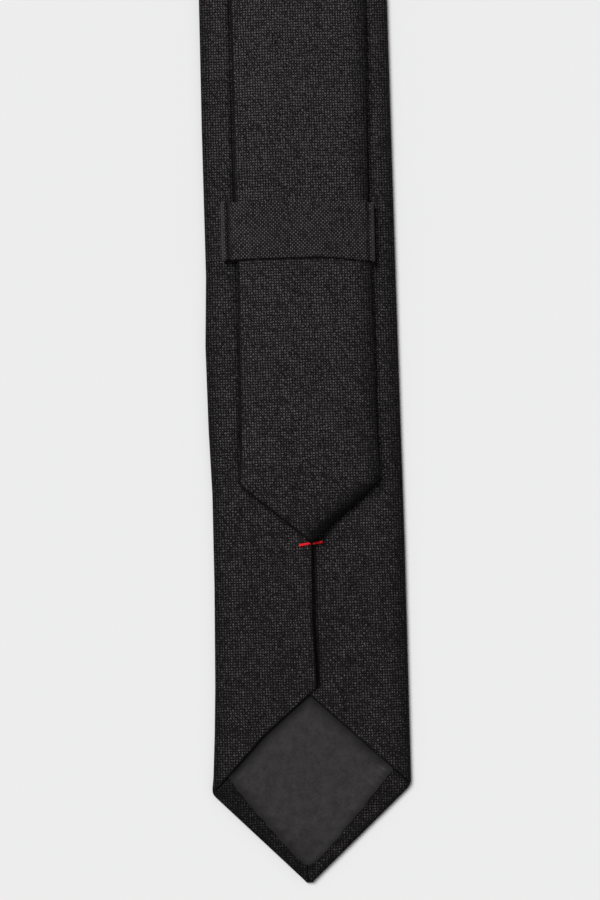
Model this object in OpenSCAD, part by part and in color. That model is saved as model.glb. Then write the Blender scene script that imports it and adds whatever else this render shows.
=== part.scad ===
// A slim men's necktie laid flat and folded in half at the neck, back up: the
// narrow tail lies on the back of the wide blade and runs through the keeper loop.
// X runs across the tie, Y along it with the wide tip at -Y, Z up from the table.

/* [Wide blade] */
// width across the two corners above the wide tip
blade_w = 60; // [54:1:70]
// distance from the wide tip up to its two corners
blade_tip_h = 28.8; // [26:0.4:32]
// sideways lean of the wide tip
blade_tip_x = -1.6; // [-2:0.2:0]
// sideways sway of the blade's middle
blade_sway = 0.8; // [0:0.1:1]
// distance from the wide tip to the fold at the neck
fold_reach = 791; // [770:1:820]
// width of the tie round the neck
neck_w = 31; // [28:1:34]

/* [Tip lining] */
// distance from the wide tip up to the top of the open diamond
diamond_top = 56.4; // [54:0.4:60]
// distance from the wide tip up to the side corners of the open diamond
diamond_side = 33.2; // [31:0.2:35]
// width of the turned hem beside the diamond, measured level
hem_side = 5; // [4:0.2:7]
// distance from the wide tip up to the bottom of the open diamond
hem_tip = 5.3; // [4.6:0.1:7]
// how far the lining runs up under the flaps
lining_reach = 92; // [80:1:96]

/* [Tail] */
// width across the two corners above the tail's tip
tail_w = 42.6; // [40:0.2:43]
// width of the tail where it runs through the keeper
tail_run_w = 40.6; // [38:0.2:41]
// distance from the wide tip up to the tail's tip
tail_tip_y = 103.2; // [100:0.4:110]
// distance from the tail's tip up to its two corners
tail_tip_h = 17.4; // [15:0.2:20]
// how far the tail lies to the right of the middle line
tail_x = 2; // [1:0.1:2.4]
// length of the tail's end that can be lifted
lift_len = 50; // [40:1:56]

/* [Keeper loop] */
// width across the keeper
keeper_w = 46.6; // [46.2:0.2:48]
// length of the keeper along the tie
keeper_len = 17.7; // [14:0.1:20]
// distance from the wide tip up to the keeper
keeper_y = 187.5; // [186:0.5:196]
// how far the keeper lies to the right of the middle line
keeper_x = 0.4; // [0.2:0.1:0.6]
// thickness of the keeper's band
keeper_t = 0.8; // [0.6:0.1:1]

/* [Layers] */
// thickness of the woven cloth
cloth = 0.5; // [0.4:0.05:0.6]
// thickness of the wool canvas inside
canvas = 1.2; // [1:0.1:1.6]
// thickness of the satin tip lining
satin = 0.3; // [0.2:0.05:0.35]
// how far the left flap laps over the right one
lap = 3.5; // [3:0.1:4]

/* [Stitches] */
// distance from the wide tip up to the bar tack
tack_y = 102.8; // [99:0.2:110]
// length of the bar tack across the seam
tack_len = 6.7; // [5:0.1:8]
// thickness of the bar tack's thread
tack_d = 0.7; // [0.5:0.05:0.75]
// thickness of the hand-sewing thread along the seam
thread_d = 0.3; // [0.2:0.02:0.32]

/* [Hidden] */
$fn = 24;
ease = 0.05;                                  // room between layers that lie together
clear = 0.45;                                 // room between pieces that slide on each other
seam_x = 2;                                   // right edge of the left flap's lap
gap = 0.5;                                    // room for the thread at the 45 degree seams
canvas_inset = 1.2;                           // canvas stops this far inside the folded edge
lining_inset = 0.8;                           // lining stops this far inside the folded edge
still_y = 330;                                // above this the two blades give with the fold
seam_wide_y = 745;                            // seam between wide blade and neck piece
seam_tail_y = 537;                            // seam between neck piece and tail
tail_tack_y = tail_tip_y + lift_len - 4;      // bar tack on the back of the tail
end_ease = 0.3;                               // room between the ends of two lengths of cloth

blade_t = 2 * cloth + canvas + satin + 3 * ease;  // folded blade without its lapped seam
lap_t = blade_t + ease + cloth;                   // folded blade at its lapped seam
keeper_z = lap_t + ease;                          // underside of the keeper
tail_z = keeper_z + keeper_t + clear;             // underside of the tail at its seam
tail_top = tail_z + lap_t;                        // front face of the tail
keeper_top = tail_top + clear + keeper_t;
fold_r = 4.6;                                     // middle radius of the soft roll at the neck
fold_run = 45;                                    // length over which the roll settles flat
fold_y = fold_reach - fold_r - blade_t / 2;
leg_z = blade_t / 2;                              // middle of the lower leg
top_leg_z = tail_top - blade_t / 2;               // middle of the upper leg
lift_y = tail_tip_y + lift_len;                   // line about which the tail's end lifts
far = 900;                                        // longer than the whole folded tie

// Stations along each blade from its tip: [distance from the wide tip, half width, middle].
blade_line = [[0, 0.7, blade_tip_x], [blade_tip_h, blade_w / 2, 0],
    [56, blade_w / 2 - 0.85, blade_sway - 0.2], [120, blade_w / 2 - 1, blade_sway],
    [267, blade_w / 2 - 1.4, blade_sway - 0.2], [still_y, blade_w / 2 - 2.4, blade_sway / 2],
    [540, blade_w / 4 + neck_w / 4 - 0.8, 0], [seam_wide_y - neck_w / 2, neck_w / 2, 0],
    [far, neck_w / 2, 0]];
tail_line = [[tail_tip_y, 0.5, tail_x], [tail_tip_y + tail_tip_h, tail_w / 2, tail_x],
    [lift_y - 4, tail_run_w / 2, tail_x], [285, tail_run_w / 2, tail_x],
    [still_y, tail_run_w / 2 - 0.7, tail_x - 0.2], [seam_tail_y - neck_w / 2, neck_w / 2, 0],
    [far, neck_w / 2, 0]];

// The closed outline through a list of stations.
function outline(line) = concat(
    [for (s = line) [s[2] + s[1], s[0]]],
    [for (i = [len(line) - 1 : -1 : 0]) [line[i][2] - line[i][1], line[i][0]]]);
// The left-hand normal of the edge from a to b.
function normal(a, b) = let (d = b - a) [-d[1], d[0]] / norm(d);
// The outline with every edge moved inwards by d.
function inset(p, d) = [for (i = [0 : len(p) - 1])
    let (a = p[(i + len(p) - 1) % len(p)], b = p[i], c = p[(i + 1) % len(p)],
        m = normal(a, b), n = normal(b, c))
    b + (m + n) * d / (1 + m * n)];

// Each material colours a piece and brings the middle of the folded tie to the origin.
module centred() translate([0, -fold_reach / 2, 0]) children();
module woven() color([0.14, 0.135, 0.14]) centred() children();
module wool() color([0.82, 0.78, 0.68]) centred() children();
module satin_lining() color([0.21, 0.2, 0.205]) centred() children();
module red_thread() color([0.9, 0.12, 0.14]) centred() children();
module black_thread() color([0.07, 0.07, 0.07]) centred() children();

// The band of a plan between two distances from the wide tip.
module between(y0, y1) {
    intersection() {
        children();
        translate([-blade_w, y0]) square([2 * blade_w, y1 - y0]);
    }
}

// The half of a plan on the wide side of a 45 degree seam, or with side = 1 the other half.
module beyond_seam(y, side) {
    intersection() {
        children();
        translate([0, y + side * gap / 2]) rotate(-45)
            translate([-far, side > 0 ? 0 : -2 * far]) square(2 * far);
    }
}

// The blade or tail's plan, inset by d.
module plan(line, d) polygon(inset(outline(line), d));

// The plan of a stretch of blade or tail: from y0 to y1, or up to the slanting neck seam.
module stretch(line, d, y0, y1, slant = false) {
    if (slant) beyond_seam(y1, -1) between(y0, y1 + neck_w) plan(line, d);
    else between(y0, y1 - end_ease) plan(line, d);
}

// A folded envelope of cloth lying on its front: face, side folds, two flaps and the lapped seam.
// The window [top, left, bottom, right] is cut from the flaps and shows the lining.
module envelope(line, y0, y1, slant = false, window = []) {
    open_y = len(window) > 0 ? window[0][1] - 3 : y0;
    riser_x = seam_x - lap;
    linear_extrude(cloth) stretch(line, 0, y0, y1, slant);
    linear_extrude(blade_t) difference() {
        stretch(line, 0, y0, y1, slant);
        plan(line, cloth);
    }
    translate([0, 0, blade_t - cloth]) linear_extrude(cloth) difference() {
        stretch(line, 0, y0, y1, slant);
        if (len(window) > 0) polygon(window);
        translate([riser_x, open_y]) square([cloth, far]);
    }
    translate([0, 0, blade_t - cloth]) linear_extrude(2 * cloth + ease)
        lapped_edge(line, y0, y1, slant, window, riser_x, open_y) square([cloth, far]);
    translate([0, 0, blade_t + ease]) linear_extrude(cloth)
        lapped_edge(line, y0, y1, slant, window, riser_x, open_y) square([lap + cloth, far]);
}

// The left flap's lapped edge in plan: it ends on the line of the window's upper left side.
module lapped_edge(line, y0, y1, slant, window, riser_x, open_y) {
    difference() {
        intersection() {
            stretch(line, cloth, y0, y1, slant);
            translate([riser_x - cloth, open_y]) children();
        }
        if (len(window) > 0) polygon([window[1], window[0] + (window[0] - window[1]) / 4,
            [window[3][0], window[1][1]]]);
    }
}

// The canvas or lining inside an envelope.
module layer(line, d, z, t, y0, y1, slant = false)
    translate([0, 0, z]) linear_extrude(t) stretch(line, d, y0, y1, slant);

// The run of sewing thread beside the lapped edge.
module slip_stitch(y0, y1)
    translate([seam_x + thread_d / 2 + ease, y0, blade_t + ease + thread_d / 2])
        rotate([-90, 0, 0]) cylinder(d = thread_d, h = y1 - y0);

// Thread over the lapped seam, a flat bar that drops from the lap to the flap beside it.
module bar_tack(y) {
    lap_z = lap_t + ease;
    flap_z = blade_t + ease;
    end_r = tack_d / 2;
    left_x = seam_x - tack_len / 2;
    right_x = seam_x + tack_len / 2;
    translate([0, y + end_r, 0]) rotate([90, 0, 0]) linear_extrude(tack_d) {
        polygon([[left_x, lap_z], [seam_x + end_r, lap_z], [right_x, flap_z],
            [right_x, flap_z + tack_d], [seam_x + end_r, lap_z + tack_d], [left_x, lap_z + tack_d]]);
        translate([left_x, lap_z + end_r]) circle(end_r);
        translate([right_x, flap_z + end_r]) circle(end_r);
    }
}

// Turns a piece that lies on its front over, onto the tail's level.
module as_tail() translate([0, 0, tail_top]) mirror([0, 0, 1]) children();

// The middle line of the roll at the neck, as [y, z, turn], from the lower leg to the upper one.
turn_steps = 28;
settle_steps = 16;
roll = concat(
    [[seam_wide_y - neck_w, leg_z, 0]],
    [for (i = [0 : turn_steps]) let (a = 180 * i / turn_steps)
        [fold_y + fold_r * sin(a), leg_z + fold_r - fold_r * cos(a), a]],
    [for (i = [1 : settle_steps]) let (s = i / settle_steps, drop = leg_z + 2 * fold_r - top_leg_z)
        [fold_y - s * fold_run, top_leg_z + drop * (1 + cos(180 * s)) / 2,
            180 + atan(drop * PI * sin(180 * s) / (2 * fold_run))]],
    [[seam_tail_y - neck_w, top_leg_z, 180]]);

// A layer that follows the roll, from o1 to o2 outside its middle line and from x1 to x2 across.
module rolled(o1, o2, x1, x2) {
    side = concat(
        [for (p = roll) [p[0] + o1 * sin(p[2]), p[1] - o1 * cos(p[2])]],
        [for (i = [len(roll) - 1 : -1 : 0]) let (p = roll[i])
            [p[0] + o2 * sin(p[2]), p[1] - o2 * cos(p[2])]]);
    translate([x1, 0, 0]) rotate([90, 0, 90]) linear_extrude(x2 - x1) polygon(side);
}

// Keeps the part of a rolled layer between the two 45 degree seams.
module within_seams() {
    middle = (lap_t + tail_z) / 2;
    intersection() {
        children();
        union() {
            translate([0, 0, -1]) linear_extrude(middle + 1)
                beyond_seam(seam_wide_y, 1) square(2 * far, center = true);
            translate([0, 0, middle]) linear_extrude(4 * fold_r)
                beyond_seam(seam_tail_y, 1) square(2 * far, center = true);
        }
    }
}

// The thread of a 45 degree seam, in the gap between two lengths of cloth.
module seam_stitch(y) {
    side = gap - 2 * ease;
    reach = neck_w - 2;
    translate([0, y, cloth / 2]) rotate(-45)
        translate([-reach / sqrt(2), -side / sqrt(8), -side / 2])
            cube([reach * sqrt(2), side / sqrt(2), side]);
}

// The two open diamonds, as [top, left, bottom, right].
wide_window = [[seam_x - 1.8, diamond_top], [hem_side - blade_w / 2, diamond_side],
    [blade_tip_x - 0.6, hem_tip], [blade_w / 2 - hem_side, diamond_side]];
tail_window = [[seam_x - 1.8, tail_tip_y + tail_tip_h * 2],
    [tail_x - tail_w / 2 + hem_side - 1, tail_tip_y + tail_tip_h + 3], [tail_x, tail_tip_y + hem_tip],
    [tail_x + tail_w / 2 - hem_side + 1, tail_tip_y + tail_tip_h + 3]];

canvas_z = cloth + ease;
lining_z = canvas_z + canvas + ease;

// Wide blade
module wide_shell() woven() envelope(blade_line, 0, still_y, window = wide_window);
module wide_upper_shell() woven() envelope(blade_line, still_y, seam_wide_y, slant = true);
module wide_canvas() wool() layer(blade_line, canvas_inset, canvas_z, canvas, 0, still_y);
module wide_upper_canvas() wool()
    layer(blade_line, canvas_inset, canvas_z, canvas, still_y, seam_wide_y, slant = true);
module wide_lining() satin_lining()
    layer(blade_line, lining_inset, lining_z, satin, 0, lining_reach);
module wide_bar_tack() red_thread() bar_tack(tack_y);
module wide_slip_stitch() black_thread() slip_stitch(tack_y + 3, still_y - end_ease);
module wide_upper_slip_stitch() black_thread() slip_stitch(still_y, seam_wide_y - seam_x - 2 * gap);

// Keeper loop and the stitches that hold it down
module rounded(w, h, r) difference() {
    square([w, h], center = true);
    for (i = [-1, 1], j = [-1, 1]) translate([i * w / 2, j * h / 2]) difference() {
        square(2 * r, center = true);
        translate([-i * r, -j * r]) circle(r);
    }
}

module keeper_loop() woven()
    translate([keeper_x, keeper_y + keeper_len, (keeper_z + keeper_top) / 2]) rotate([90, 0, 0])
        linear_extrude(keeper_len) difference() {
            rounded(keeper_w, keeper_top - keeper_z, keeper_t);
            square([keeper_w, keeper_top - keeper_z] - 2 * [keeper_t, keeper_t], center = true);
        }

stitch_d = 0.6;
stitch_pitch = 2;
stitch_in = 3;
module keeper_tacks() black_thread() for (i = [-1, 1], j = [-1, 0, 1])
    translate([keeper_x + i * (keeper_w / 2 - stitch_in), keeper_y + keeper_len / 2 + j * stitch_pitch,
        blade_t + ease]) cylinder(d = stitch_d, h = keeper_z - blade_t - 2 * ease);

// Neck piece, rolled over at the fold
module neck_shell() woven() within_seams() {
    difference() {
        rolled(-blade_t / 2, blade_t / 2, -neck_w / 2, neck_w / 2);
        rolled(cloth - blade_t / 2, blade_t / 2 - cloth, cloth - neck_w / 2, neck_w / 2 - cloth);
    }
    rolled(-blade_t / 2 - cloth - ease, -blade_t / 2, seam_x - lap - cloth, seam_x);
}

module neck_canvas() wool() within_seams()
    rolled(blade_t / 2 - canvas_z - canvas, blade_t / 2 - canvas_z,
        canvas_inset - neck_w / 2, neck_w / 2 - canvas_inset);

module neck_slip_stitch() black_thread() within_seams()
    rolled(-blade_t / 2 - ease - thread_d, -blade_t / 2 - ease, seam_x + ease, seam_x + ease + thread_d);

module wide_seam_stitch() black_thread() seam_stitch(seam_wide_y);
module tail_seam_stitch() black_thread() as_tail() seam_stitch(seam_tail_y);

// Tail
module tail_upper_shell() woven() as_tail() envelope(tail_line, still_y, seam_tail_y, slant = true);
module tail_upper_canvas() wool() as_tail()
    layer(tail_line, canvas_inset, canvas_z, canvas, still_y, seam_tail_y, slant = true);
module tail_upper_slip_stitch() black_thread() as_tail()
    slip_stitch(still_y, seam_tail_y - seam_x - 2 * gap);
module tail_shell() woven() as_tail() envelope(tail_line, lift_y, still_y);
module tail_canvas() wool() as_tail()
    layer(tail_line, canvas_inset, canvas_z, canvas, lift_y, still_y);
module tail_slip_stitch() black_thread() as_tail() slip_stitch(lift_y, still_y - end_ease);

// End of the tail, which lifts
module tail_end_shell() woven() as_tail() envelope(tail_line, 0, lift_y, window = tail_window);
module tail_end_canvas() wool() as_tail()
    layer(tail_line, canvas_inset, canvas_z, canvas, 0, lift_y);
module tail_end_lining() satin_lining() as_tail()
    layer(tail_line, lining_inset, lining_z, satin, 0, lift_y);
module tail_bar_tack() red_thread() as_tail() bar_tack(tail_tack_y);

wide_shell();
wide_upper_shell();
wide_canvas();
wide_upper_canvas();
wide_lining();
wide_bar_tack();
wide_slip_stitch();
wide_upper_slip_stitch();
keeper_loop();
keeper_tacks();
neck_shell();
neck_canvas();
neck_slip_stitch();
wide_seam_stitch();
tail_seam_stitch();
tail_upper_shell();
tail_upper_canvas();
tail_upper_slip_stitch();
tail_shell();
tail_canvas();
tail_slip_stitch();
tail_end_shell();
tail_end_canvas();
tail_end_lining();
tail_bar_tack();
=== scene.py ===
import math

import bmesh
import bpy
import numpy as np
from bpy.props import FloatProperty, FloatVectorProperty, PointerProperty
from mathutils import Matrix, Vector


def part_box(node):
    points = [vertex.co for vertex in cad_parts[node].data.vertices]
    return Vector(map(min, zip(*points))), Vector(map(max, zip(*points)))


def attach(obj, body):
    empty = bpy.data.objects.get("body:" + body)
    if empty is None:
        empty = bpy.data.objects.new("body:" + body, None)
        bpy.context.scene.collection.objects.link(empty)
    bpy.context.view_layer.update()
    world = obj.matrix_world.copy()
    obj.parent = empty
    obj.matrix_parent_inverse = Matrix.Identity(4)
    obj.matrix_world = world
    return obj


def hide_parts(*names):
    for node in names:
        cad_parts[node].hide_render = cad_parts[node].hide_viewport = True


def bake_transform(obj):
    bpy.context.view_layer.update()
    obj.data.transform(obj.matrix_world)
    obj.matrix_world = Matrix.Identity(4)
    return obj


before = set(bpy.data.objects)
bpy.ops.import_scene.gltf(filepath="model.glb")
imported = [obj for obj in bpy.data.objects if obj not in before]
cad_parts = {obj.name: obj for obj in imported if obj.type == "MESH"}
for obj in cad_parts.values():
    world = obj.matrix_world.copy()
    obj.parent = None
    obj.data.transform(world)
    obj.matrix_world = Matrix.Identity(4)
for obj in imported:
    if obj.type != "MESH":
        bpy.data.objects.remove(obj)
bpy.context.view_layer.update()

bl_info = {
    "name": "Folded necktie",
    "version": (1, 0, 0),
    "blender": (4, 5, 0),
    "location": "3D View > Sidebar > Necktie",
    "description": "A slim woven necktie folded at the neck, with its tail through the keeper loop",
    "category": "Object",
}

# Shapes are worked out in millimetres: x across the tie, v along it from the wide tip, z up.
MM = 0.001
TIP_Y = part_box("wide_shell")[0][1] / MM
KEEPER = np.array(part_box("keeper_loop")) / MM
PACKED_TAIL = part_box("tail_upper_shell")[1][2] / MM  # height of the tail's front near the neck

WIDE_SEAM_V = 745.0  # seam between the wide blade and the neck piece
TAIL_SEAM_V = 537.0  # seam between the neck piece and the tail
STILL_V = 330.0  # below this the wide blade keeps still
LIFT_V = 153.2  # the tail's end lifts about this line
LIFT_SPREAD = 30.0  # length from the lift line towards the tip, the lifted end's second place
SEAM_LEAN = 60.0  # length over which a blade's rows turn to its 45 degree seam
SEAM_GAP = 0.08  # how far the last row of cloth stays from a seam
NECK_MIDDLE = 1.325  # the neck piece's middle line above its face
DIAGONAL = 1.41  # distance along a row for each step square to a 45 degree edge
VIEW_MIDDLE = (-0.75, 130.93)  # x and v of the middle of the view

# What each patch of cloth is told apart by, so that its weave is its own.
LEFT_FLAP, RIGHT_FLAP, FACE, LEFT_HEM, RIGHT_HEM, BAND = 0.0, 3.0, 6.0, 9.0, 12.0, 15.0


# ---- sizes and colours


def length(name, description, default, low, high):
    """A size in metres, shown in the scene's own units."""
    return FloatProperty(
        name=name, description=description, default=default, min=low, max=high,
        precision=5, subtype="DISTANCE", unit="LENGTH",
    )


def colour(name, description, default):
    """A colour, linear red, green and blue."""
    return FloatVectorProperty(
        name=name, description=description, default=default, min=0.0, max=1.0,
        size=3, subtype="COLOR",
    )


class TieClothSettings(bpy.types.PropertyGroup):
    """Sizes and colours of the cloth and what is sewn into it."""

    yarn_pitch: length("Yarn pitch", "Distance between yarns of the suiting", 0.00056, 0.0002, 0.002)
    fold_radius: length("Fold radius", "Half the thickness of the folded sides", 0.00105, 0.0005, 0.0013)
    body: length("Body", "Thickness of the blade inside its folded sides", 0.00262, 0.0018, 0.003)
    lap_rise: length("Lap rise", "Height of the lap over the right flap", 0.00062, 0.0002, 0.001)
    undulation: length("Undulation", "Height of the soft waves of pressed cloth", 0.0001, 0.0, 0.0005)
    # The lit tops and shaded sides of the yarns and the gaps between them are painted light and shade on
    # the weave's relief.
    lit_yarn_top: colour("Light yarn", "Top of the yarns", (0.0915, 0.0837, 0.0879))
    shaded_yarn_side: colour("Dark yarn", "Sides of the yarns", (0.006, 0.0054, 0.0057))
    gap: colour("Gap", "Gaps between the yarns", (0.001, 0.0009, 0.001))
    thread: colour("Black thread", "Sewing thread of the seams", (0.006, 0.006, 0.0065))
    red: colour("Red thread", "Thread of the bar tacks", (0.98, 0.014, 0.026))
    wool: colour("Wool", "Interlining", (0.62, 0.57, 0.47))
    satin: colour("Satin", "Lining of the tips", (0.0315, 0.0289, 0.0302))


class TieTailSettings(bpy.types.PropertyGroup):
    """How the tail lies on the wide blade."""

    top: length("Top of the tail", "Height of the tail's front along its middle", 0.00715, 0.0055, 0.0077)
    roll_off: length("Roll-off", "How much lower the edges are than the middle", 0.00145, 0.0, 0.002)
    tip_roll_off: length("Roll-off at the tip", "The same near the tip", 0.0019, 0.0, 0.0022)
    curl: length("Curl", "How much lower the edge right of the tip is", 0.0023, 0.0, 0.0024)


class TieKeeperSettings(bpy.types.PropertyGroup):
    """The keeper loop."""

    band: length("Band", "Thickness of the folded band", 0.0006, 0.0004, 0.0008)
    bow: length("Bow", "How far the band's lower edge droops at its right end", 0.0017, 0.0, 0.003)


class TieStageSettings(bpy.types.PropertyGroup):
    """Camera, lights and floor."""

    lean: FloatProperty(
        name="Lean", description="Turn of the camera about its line of sight",
        default=math.radians(-1.596), subtype="ANGLE", unit="ROTATION",
    )
    camera_height: length("Camera height", "Camera above the floor", 0.7576, 0.2, 3.0)
    key: FloatProperty(
        name="Key light", description="Strength of the soft light from the upper left", default=2.72,
    )
    key_spread: FloatProperty(
        name="Key spread", description="How wide the soft light looks, seen from the tie",
        default=math.radians(34.0), subtype="ANGLE", unit="ROTATION",
    )
    sky: FloatProperty(name="Sky", description="Strength of the even light all round", default=0.3)
    floor: colour("Floor", "Plain pale floor", (0.84, 0.84, 0.842))


def cloth_sizes():
    """The scene's settings for cloth."""
    return bpy.context.scene.tie_cloth


# ---- curves and surfaces


def smooth(x, low, high):
    """Rises from 0 at low to 1 at high along 3t² − 2t³."""
    t = np.clip((np.asarray(x, dtype=float) - low) / (high - low), 0.0, 1.0)
    return t * t * (3.0 - 2.0 * t)


def eased(at, knots, blur=0.0):
    """The broken line through the knots, averaged over ±blur so that its corners are round."""
    where, value = np.array(knots, dtype=float).T
    spread = np.linspace(-blur, blur, 9)
    return np.interp(np.asarray(at, dtype=float)[..., None] + spread, where, value).mean(axis=-1)


def outline(tie, v):
    """Left and right edge of the folded tie, with rounded corners."""
    return eased(v, tie.left, 0.7), eased(v, tie.right, 0.7)


def bell(x, width):
    """1 where x is 0, falling to both sides as e^−(x/width)²."""
    return np.exp(-((x / width) ** 2))


def round_end(x):
    """Rises from 0 at 0 to 1 at 1 along a quarter circle."""
    return np.sqrt(1.0 - (1.0 - np.clip(x, 0.0, 1.0)) ** 2)


def ripple(x, y, size, seed):
    """Nine plane sine waves of about this wavelength in random directions, added up to about −1 to 1."""
    chance = np.random.default_rng(seed)
    total = 0.0
    for turn, stretch, shift in chance.uniform(0.0, 1.0, (9, 3)):
        along = np.cos(2 * np.pi * turn) * x + np.sin(2 * np.pi * turn) * y
        total = total + np.sin(2 * np.pi * (along / (size * (0.7 + stretch)) + shift))
    return total / 4.0


def spaced(*spans):
    """Stations from span to span, each given as (start, end, step), without repeats."""
    runs = [np.linspace(a, b, max(2, int(round((b - a) / step)) + 1))[:-1] for a, b, step in spans]
    return np.append(np.concatenate(runs), spans[-1][1])


class Patch:
    """A grid of points with the cloth's own coordinates at each of them."""

    def __init__(self, x, v, z, cloth_x, cloth_y, layer, painted_shading=0.0, closed=False, turned=False):
        shape = np.broadcast(x, v, z).shape
        full = [np.broadcast_to(a, shape) for a in (x, v, z, cloth_x, cloth_y, layer, painted_shading)]
        self.place = np.stack([full[0], full[1] + TIP_Y, full[2]], axis=-1) * MM
        self.cloth = np.stack(full[3:6], axis=-1)
        # painted shade at each point, or painted highlight where below 0, for the finishes to read
        self.painted_shading = full[6]
        self.closed = closed
        self.turned = turned


def laid(lie, x, v, h, cloth_x, layer, painted_shading=0.0, flip=False, closed=False):
    """Carries a patch of the flat tie to where it lies. The tail lies on its back, so its faces turn."""
    v = v + 0.0 * x
    turned = flip != (lie is tail_lie)
    return Patch(*lie(x, v, h), cloth_x, v, layer, painted_shading, closed=closed, turned=turned)


def piece(name, patches, finish):
    """Joins the patches into one smooth mesh: each four neighbours of a grid make a face."""
    material, slot = FINISHES[finish]
    quads, start = [], 0
    for patch in patches:
        index = start + np.arange(patch.place[..., 0].size).reshape(patch.place.shape[:2])
        start += index.size
        if patch.closed:
            index = np.hstack([index, index[:, :1]])
        ring = [index[:-1, :-1], index[1:, :-1], index[1:, 1:], index[:-1, 1:]]
        quads.append(np.stack(ring[::-1] if patch.turned else ring, axis=-1).reshape(-1, 4))
    quads = np.concatenate(quads)
    mesh = bpy.data.meshes.new(name)
    mesh.vertices.add(start)
    mesh.vertices.foreach_set("co", np.concatenate([p.place.reshape(-1, 3) for p in patches]).ravel())
    mesh.loops.add(quads.size)
    mesh.loops.foreach_set("vertex_index", quads.ravel())
    mesh.polygons.add(len(quads))
    mesh.polygons.foreach_set("loop_start", np.arange(len(quads)) * 4)
    mesh.polygons.foreach_set("use_smooth", np.ones(len(quads), dtype=bool))
    cloth = mesh.attributes.new("cloth", "FLOAT_VECTOR", "POINT")
    cloth.data.foreach_set("vector", np.concatenate([p.cloth.reshape(-1, 3) for p in patches]).ravel())
    # painted shade and painted highlight, kept as a point attribute for the finishes
    painted_shading = mesh.attributes.new("painted_shading", "FLOAT", "POINT")
    painted_shading.data.foreach_set("value", np.concatenate([p.painted_shading.ravel() for p in patches]))
    mesh.update(calc_edges=True)
    shape = bmesh.new()
    shape.from_mesh(mesh)
    bmesh.ops.remove_doubles(shape, verts=shape.verts, dist=1e-6)
    bmesh.ops.dissolve_degenerate(shape, edges=shape.edges, dist=1e-7)
    shape.to_mesh(mesh)
    shape.free()
    mesh.materials.append(material)
    item = bpy.data.objects.new(name, mesh)
    bpy.context.scene.collection.objects.link(item)
    return item


# ---- how a length of tie lies


class Wide:
    """Outline of the wide blade. Each line gives x at stations v, in millimetres."""

    tip = 0.0
    corner = 28.8
    left = ((0, -2.2), (27.3, -29.9), (28.8, -30.15), (32.5, -29.7), (46, -28.95), (60, -28.4),
            (90, -27.8), (118, -27.65), (138, -28.25), (163, -28.5), (184, -27.75), (228, -27.8),
            (330, -27.2), (540, -21.95), (729.5, -15.5), (900, -15.5))
    right = ((0, -0.7), (28.0, 29.2), (29.6, 30.05), (100, 30.1), (180, 29.6), (265, 29.3),
             (330, 28.0), (540, 21.95), (729.5, 15.5), (900, 15.5))
    flap_left = ((28.8, -29.0), (45, -13.9), (59.2, 2.5), (80, 1.8), (101, 2.25), (150, 2.0), (900, 2.0))
    flap_right = ((28.8, 29.0), (30.2, 28.9), (43, 15.0), (56.4, 0.6), (58.8, -1.6), (900, -1.6))
    lining_left = ((5.4, -2.7), (7.8, -5.4), (22, -17.5), (33.0, -25.7), (36, -26.5), (92, -26))
    lining_right = ((5.4, -1.1), (7.2, 2.0), (22, 15.2), (33.4, 24.6), (36.5, 27.0), (92, 27.2))
    mitre = ((0, -1.5), (5.4, -2.0), (60, -2.0))
    lining_tip = 5.4
    lining_end = 92.0
    window_top = 56.4
    end = WIDE_SEAM_V


class Tail:
    """Outline of the tail, seen from its front."""

    tip = 103.2
    corner = 120.6
    left = ((103.2, 1.6), (120.4, -19.1), (122, -19.35), (138, -18.5), (188, -18.1), (206, -18.45),
            (249, -18.05), (285, -18.3), (330, -17.8), (521.5, -15.5), (900, -15.5))
    right = ((103.2, 2.5), (120.6, 23.0), (122, 23.2), (140, 22.5), (188, 22.2), (206, 21.85),
             (249, 22.4), (285, 22.3), (330, 21.4), (521.5, 15.5), (900, 15.5))
    flap_left = ((120.6, -18.1), (140.5, 2.5), (150, 2.0), (900, 2.0))
    flap_right = ((120.6, 22.1), (138, 0.6), (140.3, -1.6), (900, -1.6))
    lining_left = ((107.6, 1.4), (124.2, -15.2), (126, -16.6), (160, -16.4))
    lining_right = ((107.6, 2.4), (124.2, 19.2), (126, 20.6), (160, 20.4))
    mitre = ((103.2, 1.9), (107.6, 1.9), (400, 1.9))
    lining_tip = 107.6
    lining_end = 146.0
    window_top = 138.0
    end = TAIL_SEAM_V


class Neck:
    """Outline of the neck piece, whose v is its length from the seam with the wide blade."""

    tip = corner = -900.0
    left = ((-900, -15.5), (900, -15.5))
    right = ((-900, 15.5), (900, 15.5))
    flap_left = ((-900, 2.0), (900, 2.0))
    flap_right = ((-900, -1.6), (900, -1.6))
    window_top = -900.0


def flat_lie(x, v, h):
    """The wide blade lies on its face: height above the face is height above the floor."""
    return x, v, h


def tail_front(x, v):
    """Height of the tail's front: level along the middle, falling with the cube of the way to its edge,
    a little lower at the tip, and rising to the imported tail's height towards the neck."""
    sizes = bpy.context.scene.tie_tail
    left, right = eased(v, Tail.left), eased(v, Tail.right)
    half = np.maximum((right - left) / 2, 4.0)
    way = np.clip(np.abs(x - (left + right) / 2) / half, 0.0, 1.0)
    far = smooth(v, 285.0, 520.0)
    near = 1.0 - smooth(v, 142.0, 156.0)
    drop = (sizes.roll_off + (sizes.tip_roll_off - sizes.roll_off) * near) / MM * (1 - 0.8 * far)
    nose = 0.2 * (1.0 - smooth(v, 103.0, 112.0))
    beside = (right - x) / (DIAGONAL - 0.41 * smooth(v, 118.0, 123.0))
    curl = sizes.curl / MM * (1.0 - smooth(beside, -0.2, 3.8)) * (1.0 - smooth(v, 120.0, 134.0))
    fall = np.maximum(drop * way**3, curl * smooth(v, 102.8, 110.0))
    return sizes.top / MM + (PACKED_TAIL - sizes.top / MM) * far - fall - nose


def tail_lie(x, v, h):
    """The tail lies on its seam: height above the face counts down from the tail's front."""
    return x, v, tail_front(x, v) - h


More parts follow.
